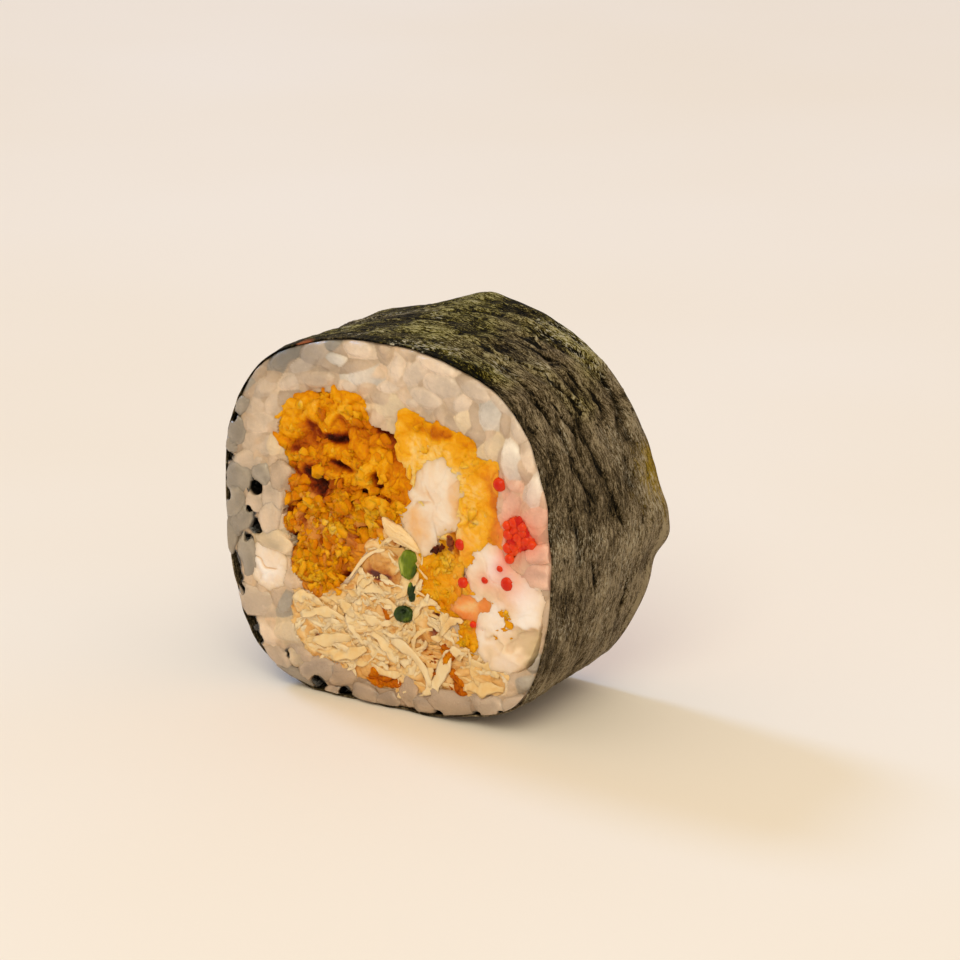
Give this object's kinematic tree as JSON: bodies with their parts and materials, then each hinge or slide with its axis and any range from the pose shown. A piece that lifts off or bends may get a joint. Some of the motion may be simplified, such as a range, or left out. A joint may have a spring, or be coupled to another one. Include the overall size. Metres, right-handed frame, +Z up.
{
  "type": "futomaki slice",
  "caption": "Thick slice of a large sushi roll on its seaweed side, cut faces showing rice, fried shrimp, crab shreds, soft cheese, roe and green onion.",
  "frame": {"origin": "middle of the slice's bounding box, on the surface it rests on", "axes": "+Z up, Y along the roll's own axis with the main cut face towards -Y, X across the roll"},
  "size_m": [0.0592, 0.0318, 0.0547],
  "materials": {
    "seaweed": "dry toasted sheet, fine fibres, soft grey sheen",
    "rice": "moist translucent grains, soft gloss",
    "fried_batter": "craggy golden brown crust, oily in places",
    "pale_batter": "amber batter, soft and moist",
    "shrimp": "smooth moist white flesh",
    "crab": "moist cream strips",
    "soft_cheese": "smooth soft white paste",
    "roe": "glossy translucent beads",
    "green_onion": "fresh wet leaf"
  },
  "bodies": {
    "root": {"seaweed_sheet": "seaweed", "rice": "rice", "crisp_batter": "fried_batter", "batter_upper": "pale_batter", "batter_lower": "pale_batter", "batter_strip": "fried_batter", "crumb_middle": "fried_batter", "crumb_base": "fried_batter", "crumb_right": "fried_batter", "shrimp_upper": "shrimp", "shrimp_lower": "shrimp", "crab_shreds": "crab", "crab_sliver": "crab", "cheese_left": "soft_cheese", "cheese_right": "soft_cheese", "roe_cluster": "roe", "chive_leaf": "green_onion", "chive_tip": "green_onion", "chive_lower": "green_onion"}
  },
  "joints": []
}
